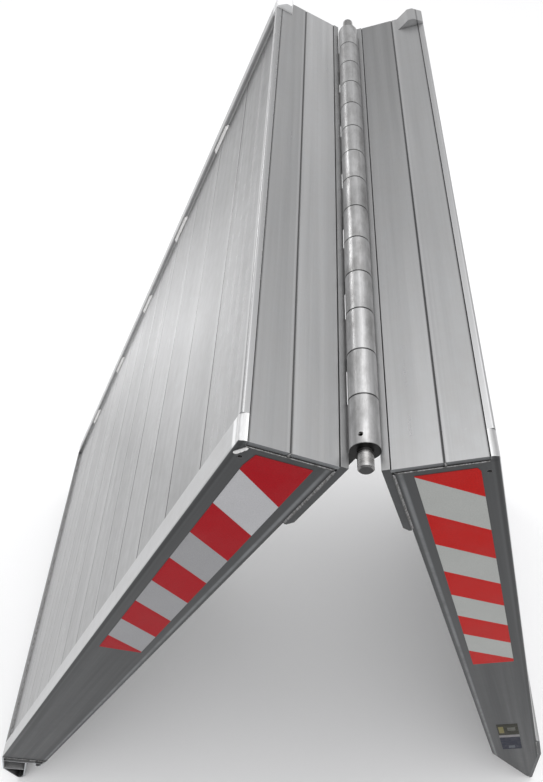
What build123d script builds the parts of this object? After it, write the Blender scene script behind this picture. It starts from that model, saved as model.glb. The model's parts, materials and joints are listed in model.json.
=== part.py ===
"""Folding loading ramp: two welded aluminium sections joined by a full-width piano hinge.

It stands folded like the letter A: the hinge is at the top, the upper section rests on its
tongue and the lower section on its nose.  Frame: Z up, Y along the hinge with the front at -Y,
origin on the floor under the middle of the ramp.  Lengths in millimetres, angles in degrees.

Each section is drawn in its own axes, as it lies when the ramp is unfolded: X runs away from
the hinge axis along the section, Y along the hinge with 0 in the middle, Z up, and the hinge
axis is at X = 0, Z = 0.
"""
from build123d import *
import math
import os

# Driving dimensions shared by both sections
clear_width = 794.0          # deck between the side rails
rail_width = 30.0
rail_depth = 100.0
rail_underside = 20.4        # underside of the rails above the hinge axis
face_setback = 11.3          # end face from the hinge axis
web_thickness = 4.0
flange_thickness = 8.0       # top flange of a rail, which is also the step up from the deck
foot_thickness = 6.0         # bottom flange and plank ledge of a rail
ledge_width = 22.0
corner_radius = 3.0          # outer corners of a rail
plank_depth = 30.0
plank_width = 121.5
plank_wall = 2.0
plank_chambers = 3
plank_bevel = 1.2
end_plank_thickness = 5.0
nosing_width = 17.2          # from the end face to the first deck plank
beam_wall = 3.0
nosing_ridge = 7.2           # width of the nosing's ridge
nosing_groove = 4.8          # width of the drainage groove behind it
vent_hole_radius = 2.3
vent_hole_at = (37.0, 109.0)

# Upper section
upper_slope = 62.8           # of the upper section against the floor
upper_planks = 11
upper_length = 1456.0        # end of its side rails
tongue_tip = (1690.0, 46.0)
tongue_heel = 100.0          # from the tongue's bend to its tip
tongue_heel_rise = 54.5      # of the bend above the tip
tongue_lip = 35.0            # flat underside behind the tip
tongue_toe_drop = 6.0        # of that underside below the tip
tongue_keel_reach = 72.0     # how far the keel at its root stands out of the rails
tongue_crown = (2.0, 7.0)    # back from the tip, and up, to where the top slope ends
tongue_toe = 8.0             # from the tip back to the underside
tongue_corner = (8.0, 18.0)  # back and down from the throat to the keel's inner corner
tongue_keel = ((4.0, 22.0), (0.0, 30.0), (8.0, 36.0))   # back from its front, down from the throat
tongue_web_backs = (4.0, 5.0)    # of the inner webs, back from the throat and from the bend
tongue_throat = (46.0, 60.0) # deepest point of the hollow between keel and lip

# Lower section
lower_planks = 9
nose_plate_start = 1150.0
nose_plate_bend = 1280.0
nose_plate_thickness = 6.0
nose_tip_x = 1556.0
nose_drop = 6.0              # slope of the nose plate beyond its bend
nose_chamfer_start = 1245.0
nose_chamfer_slope = 12.6
nose_heel_radius = 150.0     # where the underside turns up to the nose
nose_apex_radius = 4.0
nose_beam_end = 1500.0

# Hinge
pin_radius = 8.0
pin_clearance = 0.05
pin_chamfer = 1.5
pin_overhang = 4.5           # beyond each side face
barrel_radius = 15.2
barrel_recess = (16.0, 30.0) # from the front and rear side faces to the ends of the barrel
knuckle_count = 14
knuckle_gap = 0.8
leaf_thickness = 8.2
leaf_lip = 0.9               # how far it stands out of the end face
leaf_end = 136.0
leaf_chamfer = 8.0
leaf_edge = 3.0              # upright edge left above that chamfer
tab_length = 42.0
tab_thickness = 10.0
roll_pin_radius = 2.5
roll_pin_wall = 0.8
roll_pin_slot = 1.2
roll_pin_from_end = 10.0
roll_pin_sink = 1.0          # of each end, below the surface it comes out of
stop_gap = 0.15              # between a stop block and the hinge's middle plane
stop_width = 36.0
stop_crest = 8.0             # flat of a stop block that bears on its twin
stop_heel = 3.0              # how far it still stands out of the face at the rail top
lower_stop = (80.0, 98.0)    # heights where the lower section's block starts and is full
upper_stop = (94.0, 100.0)

# Markings
tape_start = 28.0
tape_end = 602.0
tape_low = 40.0
tape_high = 101.5
upper_tape_cut = (21.0, 4.0) # along the rail and down from its top edge
lower_tape_cut = (6.0, 3.0)
film_thickness = 0.4
label_corners = ((992.0, 47.0), (1212.0, 88.0))

# Worked out from the above
half_width = clear_width / 2 + rail_width
half_clear = clear_width / 2
rail_top = rail_underside + rail_depth
deck_top = rail_top - flange_thickness
plank_bottom = deck_top - plank_depth
deck_start = face_setback + nosing_width
plank_back = face_setback + end_plank_thickness
end_seam = rail_underside + rail_depth / 2
upper_deck_end = deck_start + upper_planks * plank_width
lower_deck_end = deck_start + lower_planks * plank_width
knuckle_pitch = (2 * half_width - sum(barrel_recess)) / knuckle_count
nose_tip_z = rail_top - (nose_tip_x - nose_plate_bend) * math.tan(math.radians(nose_drop))


# Drawing helpers

def face_xz(outline, y):
    return make_face(Polyline(*[(x, y, z) for x, z in outline], close=True))


def prism(outline, y_low, y_high):
    """A closed outline in X and Z, run along the hinge."""
    return extrude(face_xz(outline, y_low), amount=y_high - y_low, dir=(0, 1, 0))


def hollow_prism(outline, wall, webs, half_length):
    """An extrusion with one wall thickness all round and upright webs centred at the given X."""
    outside = face_xz(outline, -half_length)
    chambers = offset(outside, amount=-wall)
    for x in webs:
        low, high = x - wall / 2, x + wall / 2
        chambers -= face_xz([(low, 0), (high, 0), (high, rail_top), (low, rail_top)], -half_length)
    return extrude(outside - chambers, amount=2 * half_length, dir=(0, 1, 0))


def corners_near(shape, points, reach=0.1):
    """The corners of a flat shape that lie at the given points."""
    return [v for v in shape.vertices() if any(math.dist((v.X, v.Y, v.Z), p) < reach for p in points)]


def other_side(shape):
    return mirror(shape, about=Plane.XZ)


# Side rails

def rail_channel(length):
    """The rail extrusion on the +Y side: a web with a top flange, a plank ledge and a foot."""
    inner_face = half_width - web_thickness
    ledge_tip = inner_face - ledge_width
    foot_top = rail_underside + foot_thickness
    ledge_bottom = plank_bottom - foot_thickness
    outline = [
        (half_width, rail_underside), (half_clear, rail_underside),
        (half_clear, foot_top), (inner_face, foot_top),
        (inner_face, ledge_bottom), (ledge_tip, ledge_bottom),
        (ledge_tip, plank_bottom), (inner_face, plank_bottom),
        (inner_face, deck_top), (half_clear, deck_top),
        (half_clear, rail_top), (half_width, rail_top),
    ]
    profile = make_face(Polyline(*[(face_setback, y, z) for y, z in outline], close=True))
    outer = [(face_setback, half_width, rail_underside), (face_setback, half_width, rail_top)]
    profile = fillet(corners_near(profile, outer), corner_radius)
    return extrude(profile, amount=length - face_setback, dir=(1, 0, 0))


def rail_blank(side_outline, rounded):
    """A prism of a rail's side view; rounded lists (x, z, radius) of its rounded corners."""
    face = face_xz(side_outline, half_clear)
    for x, z, radius in rounded:
        face = fillet(corners_near(face, [(x, half_clear, z)]), radius)
    return extrude(face, amount=rail_width, dir=(0, 1, 0))


hinge_end_corner = (face_setback, rail_top, 2 * corner_radius)


def hinge_end_outline():
    """The hinge end of a rail's side view: its top corner reaches over the end planks."""
    return [(face_setback, rail_top), (face_setback, deck_top), (plank_back, deck_top),
            (plank_back, rail_underside)]


def drill_vent(rail):
    x, z = vent_hole_at
    cutter = Pos(x, half_width, z) * Rot(90, 0, 0) * Cylinder(vent_hole_radius, 2 * web_thickness)
    return rail - cutter


def upper_rail():
    outline = hinge_end_outline() + [(upper_length, rail_underside), (upper_length, rail_top)]
    return drill_vent(rail_channel(upper_length) & rail_blank(outline, [hinge_end_corner]))


def nose_chamfer_z(x):
    """Height of the sloped underside of the nose."""
    return rail_underside + (x - nose_chamfer_start) * math.tan(math.radians(nose_chamfer_slope))


def nose_top_z(x):
    """Height of the sloped top of the nose, under its plate."""
    return rail_top - (x - nose_plate_bend) * math.tan(math.radians(nose_drop))


def lower_rail():
    """As the upper rail, with an end that tapers to the ground and flanges that follow it."""
    rise = math.tan(math.radians(nose_chamfer_slope))
    fall = math.tan(math.radians(nose_drop))
    apex = (rail_depth + rise * nose_chamfer_start + fall * nose_plate_bend) / (rise + fall)
    apex_z = nose_chamfer_z(apex)
    outline = hinge_end_outline() + [(nose_chamfer_start, rail_underside), (apex, apex_z),
                                     (nose_plate_bend, rail_top)]
    blank = rail_blank(outline, [hinge_end_corner,
                                 (nose_chamfer_start, rail_underside, nose_heel_radius),
                                 (apex, apex_z, nose_apex_radius)])
    foot = prism([(nose_chamfer_start, rail_underside), (apex, apex_z),
                  (apex, apex_z + foot_thickness),
                  (nose_chamfer_start, rail_underside + foot_thickness)], half_clear, half_width)
    flange = prism([(nose_plate_bend, rail_top), (apex, apex_z), (apex, apex_z - flange_thickness),
                    (nose_plate_bend, deck_top)], half_clear, half_width)
    return drill_vent((rail_channel(apex) + foot + flange) & blank)


# Deck and end face

def deck_plank(number):
    """One hollow plank between the rails, smooth on top, with bevelled joints."""
    start = deck_start + number * plank_width
    end = start + plank_width
    outline = [(start, plank_bottom), (start, deck_top - plank_bevel),
               (start + plank_bevel, deck_top), (end - plank_bevel, deck_top),
               (end, deck_top - plank_bevel), (end, plank_bottom)]
    length = 2 * (half_width - web_thickness)
    section = face_xz(outline, -length / 2)
    chamber = (plank_width - (plank_chambers + 1) * plank_wall) / plank_chambers
    roof = deck_top - plank_wall
    floor = plank_bottom + plank_wall
    for i in range(plank_chambers):
        low = start + plank_wall + i * (chamber + plank_wall)
        high = low + chamber
        section -= face_xz([(low, floor), (high, floor), (high, roof), (low, roof)], -length / 2)
    return extrude(section, amount=length, dir=(0, 1, 0))


def end_plank(bottom, top):
    """A flat plank across the end face, bevelled where it meets its neighbour."""
    bevel = plank_bevel
    outline = [(face_setback + bevel, bottom), (plank_back, bottom), (plank_back, top),
               (face_setback + bevel, top), (face_setback, top - bevel),
               (face_setback, bottom + bevel)]
    return prism(outline, -half_width, half_width)


def nosing():
    """The edge trim over the end planks, with a rounded ridge and a drainage groove behind it."""
    ridge = face_setback + nosing_ridge
    groove_end = ridge + nosing_groove
    groove_floor = deck_top - flange_thickness / 2
    leg = plank_back + beam_wall
    outline = [
        (face_setback, deck_top), (face_setback, rail_top), (ridge, rail_top),
        (ridge, groove_floor), (groove_end, groove_floor), (groove_end, deck_top),
        (deck_start, deck_top), (deck_start, deck_top - flange_thickness),
        (leg, deck_top - flange_thickness), (leg, plank_bottom), (plank_back, plank_bottom),
        (plank_back, deck_top),
    ]
    face = face_xz(outline, -half_clear)
    ridge_corner = [(face_setback, -half_clear, rail_top)]
    face = fillet(corners_near(face, ridge_corner), corner_radius)
    return extrude(face, amount=clear_width, dir=(0, 1, 0))


def end_beam():
    """The box beam behind the end planks, which ties the two rails together."""
    depth = plank_bottom - rail_underside
    outline = [(plank_back, rail_underside), (plank_back + depth, rail_underside),
               (plank_back + depth, plank_bottom), (plank_back, plank_bottom)]
    return hollow_prism(outline, beam_wall, [], half_clear)


def stop_block(rear, heights):
    """The block at a rear corner that bears on its twin when the ramp is unfolded."""
    foot, full = heights
    outline = [(face_setback, foot), (face_setback, rail_top),
               (face_setback - stop_heel, rail_top), (stop_gap, full + stop_crest),
               (stop_gap, full)]
    inner = rear * (half_width - stop_width)
    outer = rear * half_width
    return prism(outline, min(inner, outer), max(inner, outer))


# Ends of the two sections

def tail_beam():
    """The box beam that closes the deck at the tongue."""
    outline = [(upper_deck_end, rail_underside), (upper_length, rail_underside),
               (upper_length, deck_top), (upper_deck_end, deck_top)]
    return hollow_prism(outline, beam_wall, [], half_clear)


def tongue():
    """The full-width lip that hooks over the truck bed: a hollow extrusion with open ends."""
    tip_x, tip_z = tongue_tip
    bend_x = tip_x - tongue_heel
    under = tip_z - tongue_toe_drop
    keel = upper_length + tongue_keel_reach
    throat_x = upper_length + tongue_throat[0]
    throat_z = tongue_throat[1]
    outline = [
        (upper_length, rail_top), (bend_x, tip_z + tongue_heel_rise),
        (tip_x - tongue_crown[0], tip_z + tongue_crown[1]),
        tongue_tip, (tip_x - tongue_toe, under), (tip_x - tongue_lip, under),
        (throat_x, throat_z), (throat_x - tongue_corner[0], throat_z - tongue_corner[1]),
    ]
    outline += [(keel - away, throat_z - down) for away, down in tongue_keel]
    outline.append((upper_length, rail_underside))
    webs = [throat_x - tongue_web_backs[0], bend_x - tongue_web_backs[1]]
    return hollow_prism(outline, beam_wall, webs, half_width)


def nose_beam():
    """The hollow wedge between the rails that carries the nose plate."""
    gap = flange_thickness
    outline = [(lower_deck_end, rail_underside + gap),
               (nose_chamfer_start, rail_underside + gap),
               (nose_beam_end, nose_chamfer_z(nose_beam_end) + gap),
               (nose_beam_end, nose_top_z(nose_beam_end)),
               (nose_plate_bend, rail_top), (nose_plate_start, rail_top),
               (nose_plate_start, deck_top), (lower_deck_end, deck_top)]
    return hollow_prism(outline, beam_wall, [nose_plate_bend], half_clear)


def nose_plate():
    """The bent plate that a wheel climbs from the ground, over the rails and the deck."""
    thick = nose_plate_thickness
    edge = thick / 2
    outline = [(nose_plate_start, rail_top), (nose_plate_bend, rail_top),
               (nose_tip_x, nose_tip_z), (nose_tip_x, nose_tip_z + edge),
               (nose_tip_x - edge, nose_top_z(nose_tip_x - edge) + thick),
               (nose_plate_bend, rail_top + thick), (nose_plate_start + edge, rail_top + thick),
               (nose_plate_start, rail_top + edge)]
    return prism(outline, -half_width, half_width)


# Hinge

def hinge_leaf():
    """The thick flat bar welded under the section, along the hinge."""
    bottom = rail_underside - leaf_thickness
    start = face_setback - leaf_lip
    outline = [(start, bottom), (leaf_end - leaf_chamfer, bottom),
               (leaf_end, rail_underside - leaf_edge),
               (leaf_end, rail_underside), (start, rail_underside)]
    return prism(outline, -half_width, half_width)


def knuckle_middle(index):
    """Where a knuckle sits along the hinge, counted from the front of the lower section."""
    return -half_width + barrel_recess[0] + (index + 0.5) * knuckle_pitch


def knuckle():
    """One knuckle about the middle of the hinge: a bored barrel with a tab under the leaf."""
    length = knuckle_pitch - knuckle_gap
    tab_top = rail_underside - leaf_thickness
    tab_bottom = tab_top - tab_thickness
    barrel = Rot(90, 0, 0) * Cylinder(barrel_radius, length)
    tab = prism([(0, tab_bottom), (tab_length, tab_bottom), (tab_length, tab_top), (0, tab_top)],
                -length / 2, length / 2)
    bore = Rot(90, 0, 0) * Cylinder(pin_radius + pin_clearance, length)
    return barrel + tab - bore


def upright_hole(radius, y):
    """The cross hole of the roll pin, square to the hinge axis and leaning away from the leaf."""
    reach = barrel_radius + 2
    lean = Rot(0, -45, 0)
    cutter = Pos(0, 0, (reach - pin_radius) / 2) * Cylinder(radius, reach + pin_radius)
    return Pos(0, y, 0) * lean * cutter


def hinge_pin(y_hole):
    pin = Rot(90, 0, 0) * Cylinder(pin_radius, 2 * (half_width + pin_overhang))
    ends = pin.edges().filter_by(GeomType.CIRCLE)
    return chamfer(ends, pin_chamfer) - upright_hole(roll_pin_radius + pin_clearance, y_hole)


def roll_pin(y):
    """The slotted spring pin that keeps the hinge pin from turning or working out."""
    low = -pin_radius + roll_pin_sink
    high = barrel_radius - roll_pin_sink
    length = high - low
    tube = Cylinder(roll_pin_radius, length) - Cylinder(roll_pin_radius - roll_pin_wall, length)
    tube -= Pos(roll_pin_radius, 0, 0) * Box(2 * roll_pin_radius, roll_pin_slot, length)
    return Pos(0, y, 0) * Rot(0, -45, 0) * Pos(0, 0, (low + high) / 2) * tube


# Markings

def film(outline, side):
    """A thin film on the outer face of a rail."""
    inner = side * half_width
    outer = side * (half_width + film_thickness)
    return prism(outline, min(inner, outer), max(inner, outer))


def tape(side, cut):
    """Reflective tape along a rail, with its corner at the drain hole cut off."""
    outline = [(tape_start, tape_low), (tape_end, tape_low), (tape_end, tape_high),
               (tape_start + cut[0], tape_high), (tape_start, tape_high - cut[1])]
    return film(outline, side)


def blank_label():
    (start, low), (end, high) = label_corners
    return film([(start, low), (end, low), (end, high), (start, high)], -1)


# Sections

def common_parts(front, planks, corner_cut, stop_heights):
    """What both sections share; front is the sign of Y at the ramp's front."""
    parts = {
        "end_plank_low": end_plank(rail_underside, end_seam),
        "end_plank_high": end_plank(end_seam, deck_top),
        "nosing": nosing(),
        "end_beam": end_beam(),
        "stop_block": stop_block(-front, stop_heights),
        "hinge_leaf": hinge_leaf(),
        "tape_front": tape(front, corner_cut),
        "tape_rear": tape(-front, corner_cut),
    }
    for i in range(planks):
        parts[f"deck_plank_{i + 1:02d}"] = deck_plank(i)
    return parts


def upper_section():
    """The section that reaches the truck bed.  It is turned end for end, so its front is +Y."""
    parts = common_parts(1, upper_planks, upper_tape_cut, upper_stop)
    rail = upper_rail()
    parts["side_rail_front"] = rail
    parts["side_rail_rear"] = other_side(rail)
    parts["tail_beam"] = tail_beam()
    parts["tongue"] = tongue()
    middles = [-knuckle_middle(i) for i in range(0, knuckle_count, 2)]
    roll_pin_y = middles[0] + (knuckle_pitch - knuckle_gap) / 2 - roll_pin_from_end
    hole = upright_hole(roll_pin_radius + pin_clearance, roll_pin_y)
    group = [Pos(0, y, 0) * knuckle() for y in middles]
    group[0] -= hole
    parts["hinge_knuckles"] = Compound(group)
    named = {f"upper_{name}": shape for name, shape in parts.items()}
    named["hinge_pin"] = hinge_pin(roll_pin_y)
    named["hinge_roll_pin"] = roll_pin(roll_pin_y)
    return named


def lower_section():
    """The section that stands on the ground at its nose."""
    parts = common_parts(-1, lower_planks, lower_tape_cut, lower_stop)
    rail = lower_rail()
    parts["side_rail_front"] = other_side(rail)
    parts["side_rail_rear"] = rail
    parts["nose_beam"] = nose_beam()
    parts["nose_plate"] = nose_plate()
    middles = [knuckle_middle(i) for i in range(1, knuckle_count, 2)]
    parts["hinge_knuckles"] = Compound([Pos(0, y, 0) * knuckle() for y in middles])
    parts["blank_label"] = blank_label()
    return {f"lower_{name}": shape for name, shape in parts.items()}


# Folded stance

def drop_below_hinge(point, slope):
    """How far a point of a section hangs below the hinge axis at a slope."""
    x, z = point
    return x * math.sin(math.radians(slope)) - z * math.cos(math.radians(slope))


hinge_height = drop_below_hinge(tongue_tip, upper_slope)
nose_reach = math.hypot(nose_tip_x, nose_tip_z)
lower_slope = math.degrees(math.asin(hinge_height / nose_reach) + math.atan2(nose_tip_z, nose_tip_x))
foot_left = tongue_tip[0] * math.cos(math.radians(upper_slope))
foot_left += tongue_tip[1] * math.sin(math.radians(upper_slope))
foot_right = nose_tip_x * math.cos(math.radians(lower_slope))
foot_right += nose_tip_z * math.sin(math.radians(lower_slope))
hinge_x = (foot_left - foot_right) / 2


def main():
    hinge = Pos(hinge_x, 0, hinge_height)
    place_upper = hinge * Rot(0, -upper_slope, 0) * Rot(0, 0, 180)
    place_lower = hinge * Rot(0, lower_slope, 0)
    placed = {name: place_upper * shape for name, shape in upper_section().items()}
    placed.update({name: place_lower * shape for name, shape in lower_section().items()})
    os.makedirs("parts", exist_ok=True)
    for name, shape in placed.items():
        export_step(shape, f"parts/{name}.step")
    print(f"hinge x {hinge_x:.2f} height {hinge_height:.2f} lower slope {lower_slope:.3f}")


main()
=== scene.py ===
"""Looks of the folding loading ramp: weathered aluminium, weld beads, hinge, reflective tape.

The two sections have their own axes, as in the CAD: u runs along a section away from the hinge
axis, y along the hinge, and v up from the hinge axis when the ramp lies unfolded.  They are
given in millimetres here and turned into metres in the shared frame by Section.place.
"""
import json
import math
import random

import bmesh
import bpy
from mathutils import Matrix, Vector


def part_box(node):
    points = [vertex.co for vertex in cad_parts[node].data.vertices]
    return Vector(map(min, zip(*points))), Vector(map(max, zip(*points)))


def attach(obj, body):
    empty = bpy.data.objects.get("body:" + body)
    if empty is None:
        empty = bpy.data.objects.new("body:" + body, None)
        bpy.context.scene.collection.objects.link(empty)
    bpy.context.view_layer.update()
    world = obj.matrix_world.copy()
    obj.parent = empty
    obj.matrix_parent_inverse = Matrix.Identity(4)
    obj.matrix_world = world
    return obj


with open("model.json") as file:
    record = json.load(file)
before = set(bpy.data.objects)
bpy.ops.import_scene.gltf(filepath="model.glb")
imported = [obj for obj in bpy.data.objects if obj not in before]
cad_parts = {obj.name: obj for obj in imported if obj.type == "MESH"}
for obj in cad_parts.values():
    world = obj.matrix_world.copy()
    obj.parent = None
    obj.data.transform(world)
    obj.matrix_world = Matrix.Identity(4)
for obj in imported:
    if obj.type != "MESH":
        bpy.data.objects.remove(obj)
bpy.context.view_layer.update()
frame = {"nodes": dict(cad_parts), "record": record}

random.seed(7)

# ---------------------------------------------------------------- sizes of the ramp in the frame
JOINT = frame["record"]["behaviour"]["joints"][0]
HINGE = Vector(JOINT["pos_m"])
OPENING = JOINT["range_deg"][1]          # angle between the folded stance and lying flat
UPPER_SLOPE = 62.8                       # of the upper section against the floor
LOWER_SLOPE = OPENING - UPPER_SLOPE
HALF_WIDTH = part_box("upper_tongue")[1][1] * 1000
RAIL_WIDTH = 30.0
HALF_CLEAR = HALF_WIDTH - RAIL_WIDTH
UNDERSIDE = 20.4
RAIL_TOP = 120.4
DECK_TOP = 112.4
FACE = 11.3                              # end face from the hinge axis
PLANK_BACK = 16.3                        # back of the end planks
DECK_START = 28.5
PLANK_PITCH = 121.5
UPPER_END = 1456.0
NOSE_PLATE = (1150.0, 1280.0)            # start and bend of the nose plate
LEAF_BOTTOM = 12.2
LEAF_END = 136.0
TAB_END = 42.0                           # end of a knuckle's tab
END_SEAM = 70.4                          # height of the seam across the end face
KNUCKLES = 14
KNUCKLE_GAP = 0.8
BARREL_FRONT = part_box("upper_hinge_knuckles")[0][1] * 1000
BARREL_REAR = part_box("lower_hinge_knuckles")[1][1] * 1000
KNUCKLE_PITCH = (BARREL_REAR - BARREL_FRONT + KNUCKLE_GAP) / KNUCKLES

# A painted reflection: a band across each deck is painted brighter. y of its middle, in metres,
# is the start below plus the slope below times u
REFLECTION_BAND_SLOPE = 0.73
REFLECTION_BAND_START = -0.267


class Section:
    """One half of the ramp: turns (u, y, v) in millimetres into a place in the frame."""

    def __init__(self, body, sign, slope):
        angle = math.radians(slope)
        self.body = body
        self.along = Vector((sign * math.cos(angle), 0, -math.sin(angle)))
        self.up = Vector((sign * math.sin(angle), 0, math.cos(angle)))

    def place(self, u, y, v):
        return HINGE + (self.along * u + self.up * v + Vector((0, y, 0))) / 1000


UPPER = Section("upper_section", -1, UPPER_SLOPE)
LOWER = Section("lower_section", 1, LOWER_SLOPE)


# ---------------------------------------------------------------- shader building

class Shade:
    """A short way to write a node material whose coordinates are a section's u, y, v in metres."""

    def __init__(self, name, section):
        self.material = bpy.data.materials.new(name)
        self.material.use_nodes = True
        self.tree = self.material.node_tree
        self.surface = self.tree.nodes["Principled BSDF"]
        position = self.node("ShaderNodeTexCoord").outputs["Object"]
        from_hinge = self.vector("SUBTRACT", position, HINGE)
        self.u = self.vector("DOT_PRODUCT", from_hinge, section.along)
        self.v = self.vector("DOT_PRODUCT", from_hinge, section.up)
        self.y = self.split(from_hinge)[1]
        self.place = self.join(self.u, self.y, self.v)

    def node(self, kind):
        return self.tree.nodes.new(kind)

    def feed(self, socket, value):
        if isinstance(value, bpy.types.NodeSocket):
            self.tree.links.new(value, socket)
        elif socket.type == "VECTOR":
            socket.default_value = value[:3]
        else:
            socket.default_value = value

    def math(self, operation, a, b=0.0, c=0.0):
        node = self.node("ShaderNodeMath")
        node.operation = operation
        for socket, value in zip(node.inputs, (a, b, c)):
            self.feed(socket, value)
        return node.outputs[0]

    def vector(self, operation, a, b):
        node = self.node("ShaderNodeVectorMath")
        node.operation = operation
        self.feed(node.inputs[0], a)
        self.feed(node.inputs[1], b)
        return node.outputs["Value" if operation == "DOT_PRODUCT" else "Vector"]

    def split(self, vector):
        node = self.node("ShaderNodeSeparateXYZ")
        self.feed(node.inputs[0], vector)
        return node.outputs

    def join(self, x, y, z):
        node = self.node("ShaderNodeCombineXYZ")
        for socket, value in zip(node.inputs, (x, y, z)):
            self.feed(socket, value)
        return node.outputs[0]

    def noise(self, stretch, detail=3.0, rough=0.55, seed=0.0):
        """Noise from 0 to 1; stretch is how many features there are per metre along u, y and v."""
        node = self.node("ShaderNodeTexNoise")
        node.noise_dimensions = "4D"
        self.feed(node.inputs["Vector"], self.vector("MULTIPLY", self.place, stretch))
        self.feed(node.inputs["W"], seed)
        self.feed(node.inputs["Scale"], 1.0)
        self.feed(node.inputs["Detail"], detail)
        self.feed(node.inputs["Roughness"], rough)
        return node.outputs["Fac"]

    def spread(self, value, low, high, to_low=0.0, to_high=1.0):
        """Takes value from low..high to to_low..to_high and clamps it."""
        node = self.node("ShaderNodeMapRange")
        for socket, number in zip(node.inputs, (value, low, high, to_low, to_high)):
            self.feed(socket, number)
        return node.outputs[0]

    def mix(self, factor, a, b):
        node = self.node("ShaderNodeMix")
        node.data_type = "RGBA"
        self.feed(self.of_kind(node.inputs, "Factor", "VALUE"), factor)
        self.feed(self.of_kind(node.inputs, "A", "RGBA"), a)
        self.feed(self.of_kind(node.inputs, "B", "RGBA"), b)
        return self.of_kind(node.outputs, "Result", "RGBA")

    @staticmethod
    def of_kind(sockets, name, kind):
        """The mix node has a socket of each name for every kind of value."""
        return next(s for s in sockets if s.name == name and s.type == kind)

    def scaled(self, colour, factor):
        node = self.node("ShaderNodeVectorMath")
        node.operation = "SCALE"
        self.feed(node.inputs[0], colour)
        self.feed(node.inputs["Scale"], factor)
        return node.outputs[0]

    def blend(self, shares):
        """The sum of several values, each times its share."""
        total = None
        for value, share in shares:
            part = self.math("MULTIPLY", value, share)
            total = part if total is None else self.math("ADD", total, part)
        return total

    def nearest_end(self, phase):
        """How far a phase from 0 to 1 is from the nearer end of its cycle."""
        return self.math("MINIMUM", phase, self.math("SUBTRACT", 1.0, phase))

    def fraction(self, value):
        return self.math("FRACT", value)

    def line(self, value, centre, half_width):
        """1 on a soft line where value is near centre, 0 away from it."""
        away = self.math("ABSOLUTE", self.math("SUBTRACT", value, centre))
        return self.spread(away, half_width * 1.5, half_width * 0.5)

    def times(self, tone, mask, factor):
        """tone, multiplied by factor where mask is 1."""
        return self.math("MULTIPLY", tone, self.spread(mask, 0.0, 1.0, 1.0, factor))

    def side_facing(self):
        """1 on faces that look along the hinge, which stay so however the ramp is folded."""
        normal = self.node("ShaderNodeNewGeometry").outputs["Normal"]
        return self.spread(self.math("ABSOLUTE", self.split(normal)[1]), 0.6, 0.8)

    def outer_side(self):
        """1 on the outermost side faces only."""
        reach = self.spread(self.math("ABSOLUTE", self.y), (HALF_WIDTH - 3) / 1000,
                            (HALF_WIDTH - 1) / 1000)
        return self.math("MULTIPLY", self.side_facing(), reach)

    def edges(self, radius):
        """1 along sharp edges, from how far a bevelled normal turns from the true one."""
        bevel = self.node("ShaderNodeBevel")
        bevel.samples = 5
        self.feed(bevel.inputs["Radius"], radius)
        true = self.node("ShaderNodeNewGeometry").outputs["Normal"]
        agreement = self.vector("DOT_PRODUCT", bevel.outputs[0], true)
        return self.spread(agreement, 0.97, 0.80)

    def crevice_shade_and_dirt(self, reach=0.006):
        """1 in narrow gaps and inside corners, from ambient occlusion: where shade falls and dirt
        stays.
        """
        node = self.node("ShaderNodeAmbientOcclusion")
        node.samples = 6
        self.feed(node.inputs["Distance"], reach)
        return self.spread(node.outputs["AO"], 0.75, 0.25)

    def bump(self, height, distance, strength=1.0):
        node = self.node("ShaderNodeBump")
        self.feed(node.inputs["Height"], height)
        self.feed(node.inputs["Distance"], distance)
        self.feed(node.inputs["Strength"], strength)
        self.feed(self.surface.inputs["Normal"], node.outputs[0])

    def finish(self, colour, roughness, metallic, specular=0.5):
        self.feed(self.surface.inputs["Base Color"], colour)
        self.feed(self.surface.inputs["Roughness"], roughness)
        self.feed(self.surface.inputs["Metallic"], metallic)
        self.feed(self.surface.inputs["Specular IOR Level"], specular)
        return self.material


def grey(level, warm=0.0):
    return (level * (1 + warm), level, level * (1 - warm), 1.0)


def across_hinge(fine, coarse):
    """Streaks that run along the hinge, as on the planks."""
    return (fine, coarse, fine)


def along_section(fine, coarse):
    """Streaks that run along a section, as on the side rails."""
    return (coarse, fine, fine)


def plain_tone(shade, tone):
    return tone


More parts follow.
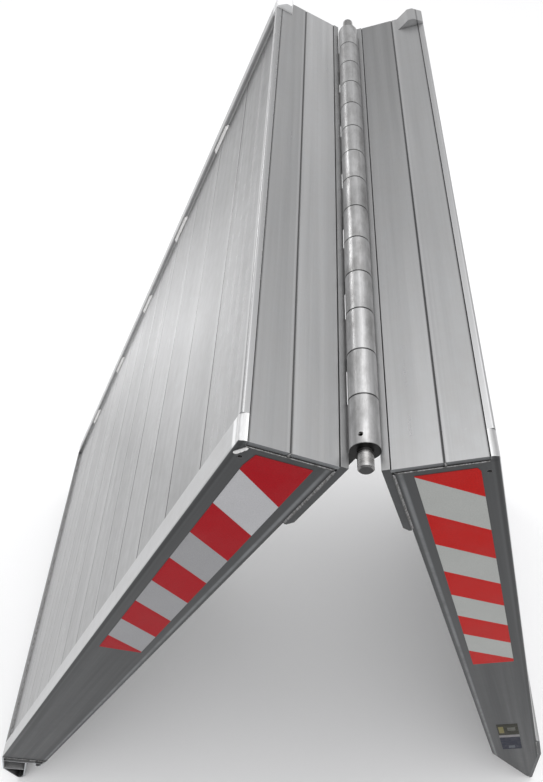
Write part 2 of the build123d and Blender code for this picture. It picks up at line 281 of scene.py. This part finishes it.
def deck_joints(shade, tone):
    """Each plank has its own tone and a painted sheen just past its joint; every joint is dirty,
    and every second one has a painted highlight on its lip, with painted shade just before it.

    A broad band is painted brighter from the near hinge corner across to the far rail, a painted
    reflection, with painted shade beside it on its far side.
    """
    middle = shade.math("MULTIPLY_ADD", shade.u, REFLECTION_BAND_SLOPE, REFLECTION_BAND_START)
    aside = shade.math("SUBTRACT", shade.y, middle)
    painted_reflection = shade.spread(shade.math("ABSOLUTE", aside), 0.26, 0.02)
    painted_reflection = shade.math("MULTIPLY", painted_reflection, shade.spread(shade.u, 0.0, 0.25, 0.3, 1.0))
    # Painted reflection: the broad bright band, brighter still towards the far end, with painted
    # shade beside it
    tone = shade.times(tone, painted_reflection, 1.9)
    tone = shade.times(tone, shade.spread(shade.math("ADD", shade.u, shade.y), 0.95, 1.45), 1.12)
    tone = shade.times(tone, shade.spread(aside, 0.20, 0.45), 0.74)
    count = shade.math("DIVIDE", shade.math("SUBTRACT", shade.u, DECK_START / 1000),
                       PLANK_PITCH / 1000)
    plank = shade.node("ShaderNodeTexWhiteNoise")
    plank.noise_dimensions = "1D"
    shade.feed(plank.inputs["W"], shade.math("FLOOR", count))
    tone = shade.math("MULTIPLY", tone, shade.spread(plank.outputs["Value"], 0, 1, 0.955, 1.035))
    phase = shade.fraction(count)
    pair = shade.fraction(shade.math("MULTIPLY", shade.math("SUBTRACT", count, 1.0), 0.5))
    # Painted sheen, brightest just past each joint and fading along the plank
    tone = shade.times(tone, shade.spread(phase, 0.28, 0.0), 1.05)
    tone = shade.times(tone, shade.line(phase, 0.986, 0.012), 0.86)
    to_joint = shade.nearest_end(phase)
    tone = shade.times(tone, shade.spread(to_joint, 0.015, 0.010), 0.55)
    tone = shade.times(tone, shade.line(phase, 0.5, 0.10), 0.97)
    # Painted highlight on the lip of every second joint, and painted shade just before it
    tone = shade.times(tone, shade.line(pair, 0.024, 0.026), 1.12)
    return shade.times(tone, shade.spread(pair, 0.80, 1.0), 0.93)


def end_seams(seam, low_plank, low_plank_rear_light, high_plank_rear_light):
    """The seam across the end face, the line along its top, and each plank's own tone.

    The tones are of the low plank at the front; towards the rear both planks are painted lighter
    or darker as painted light and shade.
    """
    def details(shade, tone):
        tone = shade.times(tone, shade.line(shade.v, END_SEAM / 1000, 0.0013), seam)
        tone = shade.times(tone, shade.line(shade.v, END_SEAM / 1000 + 0.0032, 0.0012), 1.12)
        tone = shade.times(tone, shade.line(shade.v, DECK_TOP / 1000 - 0.001, 0.0010), 0.50)
        low = shade.spread(shade.v, (END_SEAM + 1) / 1000, (END_SEAM - 1) / 1000)
        # Painted light and shade: the planks turn lighter or darker towards the rear
        rear = shade.spread(shade.y, -0.7 * HALF_WIDTH / 1000, HALF_WIDTH / 1000)
        tone = shade.math("MULTIPLY", tone, shade.spread(low, 0, 1, 1.0, low_plank))
        at_low = shade.math("MULTIPLY", low, rear)
        at_high = shade.math("SUBTRACT", rear, at_low)
        tone = shade.times(tone, at_low, low_plank_rear_light / low_plank)
        tone = shade.times(tone, at_high, high_plank_rear_light)
        sag = shade.noise((1, 3.5, 18), 2.0, 0.5, 44.0)
        return shade.times(tone, shade.spread(sag, 0.35, 0.65), 1.06)
    return details


def rail_rims(end_highlight):
    """The lines along a rail, and a painted highlight on its top's hinge end, which is painted the
    given number of times as bright as the rest.
    """
    def details(shade, tone):
        tone = rail_lines(shade, tone)
        # Painted highlight: the rail top's inner faces at the hinge end are painted brighter
        end = shade.spread(shade.u, (PLANK_BACK + 14) / 1000, (PLANK_BACK + 11) / 1000)
        end = shade.math("MULTIPLY", end, shade.spread(shade.outer_side(), 0, 1, 1, 0))
        return shade.times(tone, end, end_highlight)
    return details


def rail_lines(shade, tone):
    """A light line near the foot of a rail, a painted highlight broken up in places; the foot
    darker, a dark line below the top with a lighter one under it, and a dark line by the end
    planks' back.
    """
    wear_and_highlight = shade.noise((30, 30, 30), 3.0, 0.6, 51.0)
    # Painted highlight: a light line near the rail's foot, broken up by noise
    rim_highlight = shade.math("MULTIPLY", shade.line(shade.v, (UNDERSIDE + 7.5) / 1000, 0.0020),
                     shade.spread(wear_and_highlight, 0.3, 0.55, 0.45, 1.0))
    tone = shade.times(tone, rim_highlight, 3.2)
    foot = shade.spread(shade.v, (UNDERSIDE + 3.0) / 1000, UNDERSIDE / 1000)
    tone = shade.times(tone, foot, 0.6)
    tone = shade.times(tone, shade.line(shade.v, (RAIL_TOP - 4.0) / 1000, 0.0016), 0.62)
    tone = shade.times(tone, shade.line(shade.v, (RAIL_TOP - 7.5) / 1000, 0.0012), 1.18)
    return shade.times(tone, shade.line(shade.u, (PLANK_BACK + 2.5) / 1000, 0.0020), 0.7)


def aluminium(name, section, level, streaks, side_shade_level=None, details=plain_tone, roughness=0.42,
              metallic=0.85, contrast=0.10, seed=0.0, edge_wear_and_highlight=1.0, hollow_shade_depth=0.0):
    """Extruded aluminium: drawing streaks, dull mottling, scuffs, worn edges partly painted as
    edge highlights, and dirt and painted shade in corners.

    The outermost side faces get their own tone as painted shade, mostly darker than the rest;
    the edge factor scales how bright the worn and highlit edges are, and the hollow depth is how
    far, in metres, painted shade darkens an open chamber.
    """
    shade = Shade(name, section)
    fine = shade.noise(streaks(520, 3), 2.0, 0.6, seed)
    middle = shade.noise(streaks(85, 1.3), 3.0, 0.6, seed + 3)
    broad = shade.noise(streaks(16, 0.9), 2.0, 0.5, seed + 6)
    mottle = shade.noise((6, 5, 6), 4.0, 0.6, seed + 9)
    blotch = shade.noise((55, 45, 55), 5.0, 0.7, seed + 12)
    tone = shade.blend([(fine, 0.20), (middle, 0.34), (broad, 0.26), (mottle, 0.20)])
    tone = shade.spread(tone, 0.36, 0.64, 1 - contrast, 1 + contrast)
    scuff = shade.noise(along_section(210, 2.2), 2.0, 0.55, seed + 15)
    tone = shade.times(tone, shade.spread(scuff, 0.66, 0.76), 1.07)
    side = shade.outer_side()
    dull = shade.spread(blotch, 0.35, 0.7)
    tint = shade.mix(dull, grey(level, -0.008), grey(level * 0.955, 0.004))
    # Painted shade: the outermost side faces take their own, mostly darker, tone
    if side_shade_level is not None:
        stain = shade.spread(blotch, 0.3, 0.7, 0.90, 1.10)
        tint = shade.mix(side, tint, shade.scaled(grey(side_shade_level, -0.035), stain))
        metallic = shade.spread(side, 0, 1, metallic, 0.45)
        roughness = shade.spread(side, 0, 1, roughness, 0.55)
    colour = shade.scaled(tint, details(shade, tone))
    # Painted shade and dirt: darker in narrow gaps and inside corners
    colour = shade.scaled(colour, shade.spread(shade.crevice_shade_and_dirt(), 0, 1, 1.0, 0.35))
    # Painted shade: open chambers darkened nearly to black
    if hollow_shade_depth:
        colour = shade.scaled(colour, shade.spread(shade.crevice_shade_and_dirt(hollow_shade_depth), 0, 1, 1.0, 0.12))
    # Worn edges painted lighter along sharp edges, partly a painted edge highlight
    wear_and_highlight = shade.spread(blotch, 0.35, 0.6, 0.15 * edge_wear_and_highlight, 0.8 * edge_wear_and_highlight)
    wear_and_highlight = shade.math("MULTIPLY", shade.edges(0.0013), wear_and_highlight)
    wear_and_highlight = shade.math("MULTIPLY", wear_and_highlight, shade.spread(side, 0, 1, 1.0, 0.35))
    colour = shade.mix(wear_and_highlight, colour, grey(min(1.0, level * 1.3)))
    rough = shade.math("ADD", roughness, shade.spread(middle, 0.3, 0.7, -0.06, 0.08))
    rough = shade.math("ADD", rough, shade.spread(blotch, 0.4, 0.8, 0.0, 0.06))
    shade.bump(shade.blend([(fine, 0.5), (blotch, 0.3)]), 0.00016, 0.6)
    return shade.finish(colour, rough, metallic)


def barrel_metal(name, section, seed):
    """The hinge barrel: bright extrusion, handled and slightly scuffed, greasy at the seams; its
    ends and crevices painted dark as painted shade.
    """
    shade = Shade(name, section)
    fine = shade.noise((420, 5, 420), 3.0, 0.6, seed)
    scuff = shade.noise((60, 24, 60), 5.0, 0.7, seed + 2)
    knuckle = shade.noise((1, 9.5, 1), 0.0, 0.5, seed + 4)
    colour = shade.mix(shade.spread(scuff, 0.42, 0.66), grey(0.54), grey(0.32, 0.01))
    colour = shade.scaled(colour, shade.spread(fine, 0.3, 0.7, 0.88, 1.08))
    colour = shade.scaled(colour, shade.spread(knuckle, 0.3, 0.7, 0.86, 1.10))
    # Painted shade: the barrel's ends, facing along the hinge, painted nearly black
    colour = shade.mix(shade.side_facing(), colour, grey(0.035))
    # Painted shade and dirt in gaps and corners
    colour = shade.scaled(colour, shade.spread(shade.crevice_shade_and_dirt(0.004), 0, 1, 1.0, 0.25))
    first_gap = (BARREL_FRONT - KNUCKLE_GAP / 2) / 1000
    past_gap = shade.math("SUBTRACT", shade.y, first_gap)
    count = shade.math("DIVIDE", past_gap, KNUCKLE_PITCH / 1000)
    to_gap = shade.nearest_end(shade.fraction(count))
    colour = shade.scaled(colour, shade.spread(to_gap, 0.012, 0.024, 0.35, 1.0))
    rough = shade.spread(scuff, 0.3, 0.7, 0.27, 0.42)
    shade.bump(shade.math("ADD", fine, scuff), 0.00015, 0.7)
    return shade.finish(colour, rough, 0.95)


def turned_steel(name, section):
    """Drawn steel bar with fine turning rings and a dark oily film; its ends painted dark as
    painted shade.
    """
    shade = Shade(name, section)
    rings = shade.noise((3, 900, 3), 2.0, 0.5, 2.0)
    film = shade.noise((50, 90, 50), 4.0, 0.6, 5.0)
    colour = shade.mix(shade.spread(film, 0.4, 0.65), grey(0.46, 0.01), grey(0.22, 0.03))
    # Painted shade: the pin's ends painted nearly black
    colour = shade.mix(shade.side_facing(), colour, grey(0.045))
    rough = shade.spread(rings, 0.3, 0.7, 0.20, 0.34)
    shade.bump(rings, 0.0001, 0.25)
    return shade.finish(colour, rough, 1.0)


def weld_metal(section, highlit):
    """Weld bead metal with soot in its toes and painted shade in its crevices; sooty beads get
    painted shade on faces that look along the hinge too. A bright one is wire-brushed bright,
    partly a painted highlight.
    """
    shade = Shade("weld_brushed_highlit" if highlit else "weld_sooty_shaded", section)
    soot = shade.noise((260, 260, 260), 4.0, 0.6, 1.0)
    crest, toe = (0.95, 0.78) if highlit else (0.48, 0.20)
    colour = shade.mix(shade.spread(soot, 0.38, 0.62), grey(crest), grey(toe, 0.02))
    # Painted shade: side-facing faces of sooty beads darker
    if not highlit:
        colour = shade.mix(shade.side_facing(), colour, shade.scaled(colour, 0.45))
    # Painted shade and dirt in the toes
    colour = shade.scaled(colour, shade.spread(shade.crevice_shade_and_dirt(0.004), 0, 1, 1.0, 0.4))
    shade.bump(soot, 0.0003, 0.8)
    return shade.finish(colour, shade.spread(soot, 0.3, 0.7, 0.35, 0.6), 0.8)


def reflective_tape(name, section, first_edge, pitch, lean, red, white, highlit):
    """Red and white diagonal bands of retroreflective film with its fine honeycomb texture.

    first_edge is where the first band ends at mid height, and lean is how far a band's edge
    moves along u for each unit of v.  Both end bands are red.  The first white band is painted
    brighter than the rest by the given factor, a painted reflection of the film.
    """
    shade = Shade(name, section)
    slant = shade.math("MULTIPLY", shade.math("SUBTRACT", shade.v, END_SEAM / 1000), lean)
    along = shade.math("SUBTRACT", shade.math("SUBTRACT", shade.u, slant), first_edge / 1000)
    bands = shade.math("DIVIDE", along, pitch / 1000)
    first = shade.math("LESS_THAN", bands, 0.0)
    even = shade.math("LESS_THAN", shade.fraction(shade.math("MULTIPLY", bands, 0.5)), 0.5)
    is_white = shade.math("MULTIPLY", even, shade.math("SUBTRACT", 1.0, first))
    cells = shade.node("ShaderNodeTexVoronoi")
    cells.feature = "DISTANCE_TO_EDGE"
    shade.feed(cells.inputs["Vector"], shade.place)
    shade.feed(cells.inputs["Scale"], 420.0)
    cell_edge = shade.spread(cells.outputs["Distance"], 0.02, 0.12)
    dust = shade.noise((16, 16, 16), 5.0, 0.65, 4.0)
    speck = shade.noise((700, 700, 700), 2.0, 0.6, 6.0)
    red_film = shade.scaled(red, shade.spread(speck, 0.3, 0.7, 0.86, 1.12))
    white_film = shade.scaled(white, shade.spread(speck, 0.3, 0.7, 0.93, 1.06))
    # Painted reflection: the first white band painted brighter
    white_film = shade.scaled(white_film, shade.spread(bands, 0.98, 1.02, highlit, 1.0))
    colour = shade.mix(is_white, red_film, white_film)
    film = shade.math("MULTIPLY", shade.spread(dust, 0.45, 0.75), 0.08)
    colour = shade.mix(film, colour, grey(0.22, 0.03))
    colour = shade.scaled(colour, shade.spread(cell_edge, 0, 1, 0.93, 1.0))
    colour = shade.mix(shade.math("MULTIPLY", shade.edges(0.0006), 0.4), colour, grey(0.10))
    shade.bump(cell_edge, 0.00008, 0.5)
    return shade.finish(colour, shade.spread(dust, 0.3, 0.7, 0.38, 0.5), 0.0, 0.03)


def plain_label(section):
    """A rating label with its wording left out: coloured panels and blank lines only."""
    shade = Shade("blank_label", section)
    low, high = node_span(section, "lower_blank_label")
    along = shade.spread(shade.u, low[0], high[0])
    across = shade.spread(shade.v, low[1], high[1])

    def panel(colour, paint, u_range, v_range):
        inside = shade.math("COMPARE", along, sum(u_range) / 2, (u_range[1] - u_range[0]) / 2)
        within = shade.math("COMPARE", across, sum(v_range) / 2, (v_range[1] - v_range[0]) / 2)
        return shade.mix(shade.math("MULTIPLY", inside, within), colour, paint)

    scuff = shade.noise((120, 120, 120), 5.0, 0.65, 3.0)
    colour = panel((0.010, 0.012, 0.028, 1), (0.020, 0.019, 0.010, 1), (-0.1, 0.40), (-0.1, 1.1))
    colour = panel(colour, (0.17, 0.15, 0.055, 1), (0.08, 0.32), (0.06, 0.30))
    colour = panel(colour, (0.10, 0.10, 0.085, 1), (0.12, 0.24), (0.48, 0.86))
    colour = panel(colour, (0.22, 0.215, 0.22, 1), (0.40, 0.49), (-0.1, 1.1))
    colour = panel(colour, (0.085, 0.095, 0.11, 1), (0.84, 0.95), (0.34, 0.66))
    colour = shade.mix(shade.spread(scuff, 0.60, 0.68), colour, grey(0.06))
    shade.bump(scuff, 0.0001, 0.4)
    return shade.finish(colour, shade.spread(scuff, 0.3, 0.7, 0.35, 0.55), 0.0, 0.03)


def node_span(section, node):
    """The lowest and highest (u, v) of a node, in metres."""
    points = [vertex.co - HINGE for vertex in frame["nodes"][node].data.vertices]
    us = [point.dot(section.along) for point in points]
    vs = [point.dot(section.up) for point in points]
    return (min(us), min(vs)), (max(us), max(vs))


# ---------------------------------------------------------------- materials on the CAD nodes

def paint(name, material):
    mesh = frame["nodes"][name].data
    mesh.materials.clear()
    mesh.materials.append(material)


def paint_section(prefix, section, seed, seams, face_level, stop_level, end_highlight):
    """Paints a section's nodes; a stop_level of None gives the stop block the end face's metal."""
    deck = aluminium(prefix + "_deck", section, 0.285, across_hinge, details=deck_joints,
                     roughness=0.30, contrast=0.20, seed=seed, edge_wear_and_highlight=0.4)
    face = aluminium(prefix + "_end_face", section, face_level, across_hinge, side_shade_level=0.16,
                     details=seams, roughness=0.32, metallic=0.9, contrast=0.07, seed=seed + 20)
    edge = aluminium(prefix + "_edge_trim", section, 0.50, across_hinge, side_shade_level=0.30,
                     roughness=0.30, metallic=0.9, contrast=0.07, seed=seed + 40)
    block = face
    if stop_level is not None:
        block = aluminium(prefix + "_stop", section, stop_level, across_hinge,
                          side_shade_level=stop_level * 0.6, roughness=0.36, metallic=0.3,
                          contrast=0.06, seed=seed + 50)
    rail = aluminium(prefix + "_rail", section, 0.54, along_section, side_shade_level=0.055,
                     details=rail_rims(end_highlight), roughness=0.38, contrast=0.08, seed=seed + 60)
    fitting = aluminium(prefix + "_fitting", section, 0.38, across_hinge, side_shade_level=0.09,
                        contrast=0.08, seed=seed + 80)
    tongue = aluminium(prefix + "_tongue", section, 0.42, across_hinge, side_shade_level=0.42,
                       contrast=0.10, seed=seed + 90, hollow_shade_depth=0.06)
    leaf = aluminium(prefix + "_leaf", section, 0.36, across_hinge, side_shade_level=0.060,
                     roughness=0.38, contrast=0.08, seed=seed + 100)
    barrel = barrel_metal(prefix + "_barrel", section, seed + 120)
    rules = [("deck_plank", deck), ("tail_beam", deck), ("end_plank", face), ("nosing", edge),
             ("stop_block", block), ("side_rail", rail), ("hinge_leaf", leaf),
             ("hinge_knuckles", barrel), ("tongue", tongue), ("nose_", fitting),
             ("end_beam", fitting)]
    for node in frame["record"]["behaviour"]["bodies"][section.body]:
        for word, material in rules:
            if node.startswith(prefix + "_" + word):
                paint(node, material)


# ---------------------------------------------------------------- weld beads

def bead_mesh(mesh, section, start, end, toes, radius, pitch):
    """One weld bead from start to end in (u, y, v); toes are the two directions it leans on."""
    a, b = Vector(start), Vector(end)
    length = (b - a).length
    run = (b - a).normalized()
    first, second = Vector(toes[0]).normalized(), Vector(toes[1]).normalized()
    steps = max(6, int(length / (pitch / 4)))
    arc_steps = 6
    rings = []
    for i in range(steps + 1):
        along = length * i / steps
        phase = (along / pitch) % 1.0
        swell = 0.82 + 0.26 * math.sqrt(1 - phase) + random.uniform(-0.03, 0.03)
        taper = min(1.0, 0.35 + 2.2 * min(along, length - along) / (3 * radius + 0.01))
        size = radius * swell * taper
        centre = a + run * (along + pitch * 0.2 * phase)
        ring = []
        for j in range(arc_steps + 1):
            t = math.pi / 2 * j / arc_steps
            bulge = 1.0 - 0.22 * math.sin(2 * t)
            offset = (first * math.cos(t) + second * math.sin(t)) * size * bulge
            ring.append(mesh.verts.new(section.place(*(centre + offset))))
        ring.append(mesh.verts.new(section.place(*(centre - (first + second) * radius * 0.12))))
        rings.append(ring)
    for low, high in zip(rings, rings[1:]):
        count = len(low)
        for j in range(count):
            k = (j + 1) % count
            mesh.faces.new((low[j], low[k], high[k], high[j]))
    mesh.faces.new(list(reversed(rings[0])))
    mesh.faces.new(rings[-1])


def welds(name, section, material, runs, radius, pitch):
    """A group of weld beads in one piece that rides on its section."""
    mesh = bmesh.new()
    for start, end, toes in runs:
        bead_mesh(mesh, section, start, end, toes, radius, pitch)
    bmesh.ops.recalc_face_normals(mesh, faces=mesh.faces)
    data = bpy.data.meshes.new(name)
    mesh.to_mesh(data)
    mesh.free()
    data.shade_smooth()
    piece = bpy.data.objects.new(name, data)
    bpy.context.scene.collection.objects.link(piece)
    data.materials.append(material)
    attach(piece, section.body)


U, V = (1, 0, 0), (0, 0, 1)
# The radius of each kind of bead and the pitch of its ripples
STITCH_BEAD = (5.5, 5.0)
FACE_BEAD = (2.2, 2.8)
CORNER_BEAD = (2.6, 4.0)
HINGE_BEAD = (4.0, 3.4)
ROOT_BEAD = (2.6, 3.0)


def back(axis):
    return tuple(-value for value in axis)


def deck_stitches(deck_end):
    """Stitch welds on every second plank joint, between the deck and each rail's top flange."""
    runs = []
    joint = DECK_START + 2 * PLANK_PITCH
    while joint < deck_end - PLANK_PITCH / 2:
        for side in (-1, 1):
            middle = joint + random.uniform(-8, 8)
            half = random.uniform(32, 42)
            y = side * HALF_CLEAR
            runs.append(((middle - half, y, DECK_TOP), (middle + half, y, DECK_TOP),
                         ((0, -side, 0), V)))
        joint += 2 * PLANK_PITCH
    return runs


def end_face_welds():
    """Beads on the outer side faces: around the end planks and along the hinge leaf."""
    runs = []
    for side in (-1, 1):
        y = side * HALF_WIDTH
        out = (0, side, 0)
        toe = PLANK_BACK + 1.2
        foot = UNDERSIDE + 0.6
        runs.append(((toe, y, UNDERSIDE + 3), (toe, y, DECK_TOP - 1), (U, out)))
        runs.append(((PLANK_BACK + 4, y, foot), (LEAF_END - 4, y, foot), (V, out)))
        runs.append(((FACE + 1, y, END_SEAM), (PLANK_BACK + 2, y, END_SEAM), (V, out)))
    return runs


def knuckle_welds(prefix):
    """A bead along the end of each knuckle's tab, under the leaf."""
    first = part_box(prefix + "_hinge_knuckles")[0][1] * 1000
    runs = []
    for i in range(KNUCKLES // 2):
        start = first + 2 * i * KNUCKLE_PITCH
        runs.append(((TAB_END, start + 3, LEAF_BOTTOM),
                     (TAB_END, start + KNUCKLE_PITCH - 4, LEAF_BOTTOM), (U, back(V))))
    return runs


def leaf_welds():
    """Beads under the section: the far edge of the leaf against each rail's foot."""
    runs = []
    for side in (-1, 1):
        runs.append(((LEAF_END, side * (HALF_CLEAR + 2), UNDERSIDE),
                     (LEAF_END, side * (HALF_WIDTH - 2), UNDERSIDE), (U, back(V))))
    return runs


def corner_welds():
    """A short wire-brushed bead by each drain hole, where the end face is let into the rail; its
    brightness is partly a painted highlight.
    """
    runs = []
    for side in (-1, 1):
        y = side * HALF_WIDTH
        runs.append(((PLANK_BACK + 17, y, RAIL_TOP - 4), (PLANK_BACK + 3, y, RAIL_TOP - 13),
                     (V, (0, side, 0))))
    return runs


def upper_welds():
    material = weld_metal(UPPER, False)
    stitches = deck_stitches(UPPER_END)
    # The stitch and corner beads are the bright kind, partly a painted highlight
    welds("upper_deck_welds", UPPER, weld_metal(UPPER, True), stitches, *STITCH_BEAD)
    welds("upper_end_welds", UPPER, material, end_face_welds(), *FACE_BEAD)
    welds("upper_corner_welds", UPPER, weld_metal(UPPER, True), corner_welds(), *CORNER_BEAD)
    welds("upper_hinge_welds", UPPER, material, knuckle_welds("upper") + leaf_welds(),
          *HINGE_BEAD)
    root = []
    for side in (-1, 1):
        y = side * HALF_WIDTH
        root.append(((UPPER_END, y, UNDERSIDE + 2), (UPPER_END, y, RAIL_TOP - 3),
                     (U, (0, side, 0))))
    root.append(((UPPER_END, -HALF_CLEAR, DECK_TOP), (UPPER_END, HALF_CLEAR, DECK_TOP),
                 (back(U), V)))
    welds("upper_tongue_welds", UPPER, material, root, *ROOT_BEAD)


def lower_welds():
    material = weld_metal(LOWER, False)
    stitches = deck_stitches(NOSE_PLATE[0])
    # The stitch beads are the bright kind, partly a painted highlight
    welds("lower_deck_welds", LOWER, weld_metal(LOWER, True), stitches, *STITCH_BEAD)
    welds("lower_end_welds", LOWER, material, end_face_welds(), *FACE_BEAD)
    welds("lower_hinge_welds", LOWER, material, knuckle_welds("lower") + leaf_welds(),
          *HINGE_BEAD)
    runs = []
    start, bend = NOSE_PLATE
    for side in (-1, 1):
        y = side * (HALF_WIDTH - 0.3)
        out = (0, side, 0)
        runs.append(((start + 8, y, RAIL_TOP), (bend, y, RAIL_TOP), (back(V), out)))
    runs.append(((start, -HALF_CLEAR, DECK_TOP), (start, HALF_CLEAR, DECK_TOP), (back(U), V)))
    welds("lower_nose_welds", LOWER, material, runs, *ROOT_BEAD)


# ---------------------------------------------------------------- stage, light, camera

SKY_LEVELS = [(0.0, 0.38), (0.25, 0.38), (0.42, 0.40), (0.55, 0.60), (0.7, 0.80), (0.85, 0.96),
              (1.0, 1.02)]      # sine of the elevation, brightness


def floor():
    bpy.ops.mesh.primitive_plane_add(size=60, location=(0, 0, 0))
    plane = bpy.context.object
    plane.name = "floor"
    material = bpy.data.materials.new("floor")
    material.use_nodes = True
    surface = material.node_tree.nodes["Principled BSDF"]
    surface.inputs["Base Color"].default_value = (0.93, 0.93, 0.93, 1)
    surface.inputs["Roughness"].default_value = 0.9
    surface.inputs["Specular IOR Level"].default_value = 0.1
    plane.data.materials.append(material)


def studio_sky():
    """A soft studio dome: bright overhead, dimmer towards the horizon and on the left."""
    world = bpy.data.worlds.new("studio")
    bpy.context.scene.world = world
    world.use_nodes = True
    tree = world.node_tree
    dome = tree.nodes["Background"]
    direction = tree.nodes.new("ShaderNodeTexCoord")
    parts = tree.nodes.new("ShaderNodeSeparateXYZ")
    ramp = tree.nodes.new("ShaderNodeValToRGB")
    side = tree.nodes.new("ShaderNodeMath")
    side.operation = "MULTIPLY_ADD"
    side.inputs[1].default_value = 0.35
    side.inputs[2].default_value = 1.3
    tree.links.new(direction.outputs["Generated"], parts.inputs[0])
    tree.links.new(parts.outputs["Z"], ramp.inputs[0])
    tree.links.new(parts.outputs["X"], side.inputs[0])
    stops = ramp.color_ramp.elements
    while len(stops) < len(SKY_LEVELS):
        stops.new(0.5)
    for stop, (height, level) in zip(stops, SKY_LEVELS):
        stop.position = height
        stop.color = (level, level, level * 1.01, 1)
    tree.links.new(ramp.outputs[0], dome.inputs["Color"])
    tree.links.new(side.outputs[0], dome.inputs["Strength"])


def soft_light(name, place, target, size, power):
    light = bpy.data.lights.new(name, "AREA")
    light.shape = "RECTANGLE"
    light.size, light.size_y = size
    light.energy = power
    lamp = bpy.data.objects.new(name, light)
    bpy.context.scene.collection.objects.link(lamp)
    lamp.location = place
    lamp.rotation_euler = (Vector(target) - Vector(place)).to_track_quat("-Z", "Y").to_euler()


def camera():
    """A level camera at eye height in front of the ramp, looking down past the hinge."""
    rail_depth = 0.1
    eye = HINGE + Vector((-0.376 * rail_depth, -HALF_WIDTH / 1000 - 3.502 * rail_depth,
                          5.601 * rail_depth))
    lens = bpy.data.cameras.new("camera")
    lens.sensor_fit = "VERTICAL"
    lens.sensor_height = 36.0
    lens.lens = 33.03
    lens.shift_x = -0.0683
    holder = bpy.data.objects.new("camera", lens)
    bpy.context.scene.collection.objects.link(holder)
    holder.location = eye
    holder.rotation_euler = (math.radians(90 - 51.97), 0, 0)
    bpy.context.scene.camera = holder


# ---------------------------------------------------------------- making the scene

camera()
floor()
studio_sky()
soft_light("pool", place=(-1.6, 2.2, 2.4), target=(-1.1, 1.5, 0.0), size=(0.9, 0.9), power=12)
soft_light("top", place=(0.6, 0.3, 4.8), target=(0.1, 0, 0.8), size=(4.0, 4.0), power=50)

UPPER_SEAMS = end_seams(seam=0.42, low_plank=1.18, low_plank_rear_light=1.60, high_plank_rear_light=1.22)
LOWER_SEAMS = end_seams(seam=0.60, low_plank=1.06, low_plank_rear_light=0.86, high_plank_rear_light=1.28)
# The upper stop block is painted near white, a painted highlight; the lower one takes the end
# face's metal
paint_section("upper", UPPER, seed=0.0, seams=UPPER_SEAMS, face_level=0.37, stop_level=0.95,
              end_highlight=1.7)
paint_section("lower", LOWER, seed=300.0, seams=LOWER_SEAMS, face_level=0.362, stop_level=None,
              end_highlight=1.1)
# The tape on the lower section is given a lighter red and white than on the upper
DARK_RED = (0.37, 0.006, 0.012, 1)
LIGHT_RED = (0.49, 0.011, 0.009, 1)
UPPER_TAPE_WHITE = (0.335, 0.335, 0.345, 1)
LOWER_TAPE_WHITE = (0.42, 0.43, 0.415, 1)
for end, way in (("front", 1), ("rear", -1)):
    upper_tape, lower_tape = "upper_tape_" + end, "lower_tape_" + end
    paint(upper_tape, reflective_tape(upper_tape, UPPER, first_edge=81.5, pitch=70.2,
                                      lean=-0.80 * way, red=DARK_RED, white=UPPER_TAPE_WHITE,
                                      highlit=1.45))
    paint(lower_tape, reflective_tape(lower_tape, LOWER, first_edge=56.0, pitch=72.2,
                                      lean=0.87 * way, red=LIGHT_RED, white=LOWER_TAPE_WHITE,
                                      highlit=1.0))
paint("lower_blank_label", plain_label(LOWER))
paint("hinge_pin", turned_steel("hinge_pin", UPPER))
paint("hinge_roll_pin", turned_steel("roll_pin", UPPER))
upper_welds()
lower_welds()

bpy.context.scene.view_settings.view_transform = "Standard"
